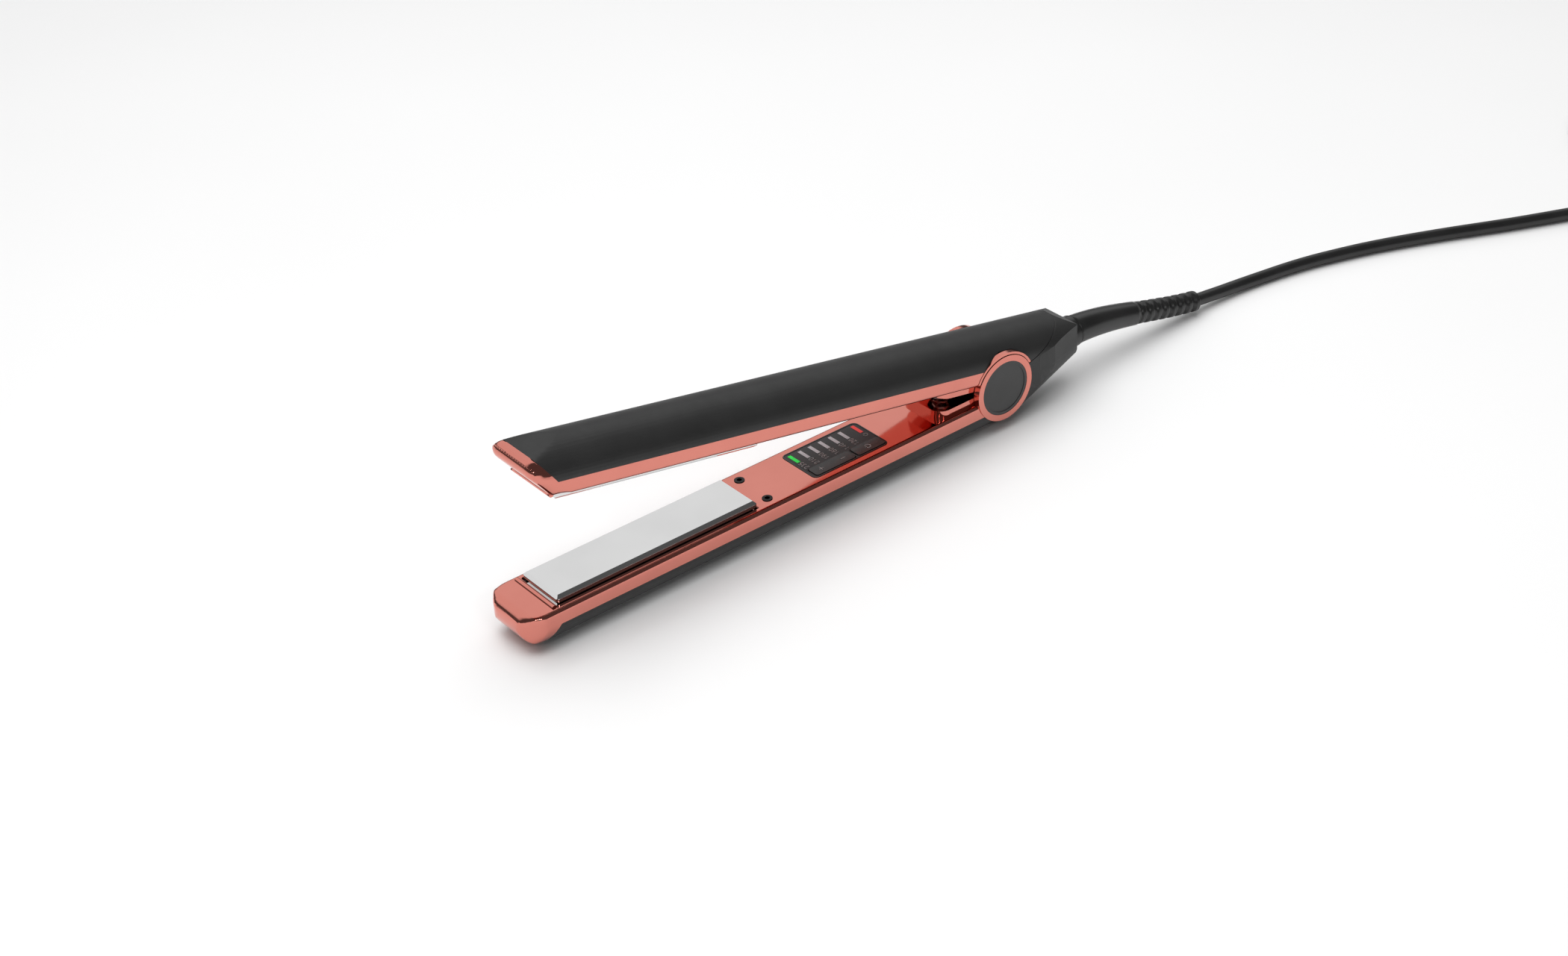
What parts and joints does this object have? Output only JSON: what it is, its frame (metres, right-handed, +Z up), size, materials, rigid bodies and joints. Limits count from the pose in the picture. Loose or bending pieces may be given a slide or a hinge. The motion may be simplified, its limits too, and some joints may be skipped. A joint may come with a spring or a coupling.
{
  "type": "flat iron",
  "caption": "Hair straightener: two arms hinged at the rear carry sprung flat plates; a panel with lights and keys in the lower arm, and a swivel cord with a plug.",
  "frame": {"origin": "on the supporting surface, under the middle of the iron without its free cord", "axes": "+X from the nose of the arms towards the cord, +Y across the iron along the hinge axis, +Z up from the belly of the lower arm"},
  "size_m": [0.8121, 0.1197, 0.0871],
  "materials": {
    "shell_black": "satin",
    "rose_gold": "satin",
    "insert_black": "satin",
    "pin_steel": "ground",
    "spring_steel": "drawn",
    "carrier_black": "matt",
    "screw_black": "black oxide",
    "bezel_black": "gloss",
    "panel_grey": "satin",
    "light_white": "frosted",
    "light_green": "lit",
    "light_red": "lit",
    "board_green": "solder mask",
    "component_black": "moulded",
    "wire_red": "silicone",
    "plate_ceramic": "ceramic-coated, smooth satin",
    "heater_ceramic": "ceramic",
    "key_black": "semi-gloss",
    "swivel_black": "satin",
    "relief_rubber": "smooth rubber",
    "cord_rubber": "smooth PVC",
    "tie_black": "ribbed",
    "plug_black": "satin",
    "pin_brass": "nickel-plated brass"
  },
  "bodies": {
    "lower_arm": {"lower_cover": "shell_black", "tail_cap": "shell_black", "lower_liner": "rose_gold", "hinge_inserts": "insert_black", "hinge_pins": "pin_steel", "opening_spring": "spring_steel", "lower_carrier": "carrier_black", "lower_screws": "screw_black", "panel_bezel": "bezel_black", "control_panel": "panel_grey", "lights_white": "light_white", "light_green": "light_green", "light_red": "light_red", "main_board": "board_green", "board_parts": "component_black", "lower_leads": "wire_red", "lower_springs": "spring_steel"},
    "lower_plate_body": {"lower_plate": "plate_ceramic", "lower_heater": "heater_ceramic", "lower_clamp": "spring_steel", "lower_sensor": "heater_ceramic"},
    "rocker_key_body": {"rocker_key": "key_black"},
    "power_key_body": {"power_key": "key_black"},
    "upper_arm": {"upper_cover": "shell_black", "upper_liner": "rose_gold", "upper_carrier": "carrier_black", "upper_screws": "screw_black", "upper_leads": "wire_red", "hinge_leads": "wire_red", "upper_springs": "spring_steel"},
    "upper_plate_body": {"upper_plate": "plate_ceramic", "upper_heater": "heater_ceramic", "upper_clamp": "spring_steel", "upper_sensor": "heater_ceramic"},
    "cord_swivel": {"swivel": "swivel_black", "cord_sleeve": "relief_rubber", "strain_relief": "relief_rubber", "cord": "cord_rubber", "cord_hank": "cord_rubber", "hank_tie": "tie_black", "plug": "plug_black", "plug_pins": "pin_brass"}
  },
  "joints": [
    {"name": "arm_hinge", "type": "hinge", "parent": "lower_arm", "child": "upper_arm", "pos_m": [0.059, 0, 0.0218], "axis": [0, -1, 0], "range_deg": [0, 10.66], "stiffness_Nm_per_rad": 1, "springref_deg": -17.19, "deforming": ["opening_spring"]},
    {"name": "lower_plate_float", "type": "slide", "parent": "lower_arm", "child": "lower_plate_body", "axis": [0, 0, -1], "range_m": [0, 0.001], "stiffness_N_per_m": 4000, "springref_m": -0.001, "deforming": ["lower_springs"]},
    {"name": "upper_plate_float", "type": "slide", "parent": "upper_arm", "child": "upper_plate_body", "axis": [0.1857, 0, 0.9826], "range_m": [0, 0.001], "stiffness_N_per_m": 4000, "springref_m": -0.001, "deforming": ["upper_springs"]},
    {"name": "rocker_key_tilt", "type": "hinge", "parent": "lower_arm", "child": "rocker_key_body", "pos_m": [-0.0333, -0.0075, 0.0152], "axis": [0, 1, 0], "range_deg": [-3, 3], "stiffness_Nm_per_rad": 0.05},
    {"name": "power_key_press", "type": "slide", "parent": "lower_arm", "child": "power_key_body", "axis": [0, 0, -1], "range_m": [0, 0.0006], "stiffness_N_per_m": 1500},
    {"name": "cord_swivel_turn", "type": "hinge", "parent": "lower_arm", "child": "cord_swivel", "pos_m": [0.109, 0, 0.0218], "axis": [1, 0, 0], "continuous": true}
  ]
}
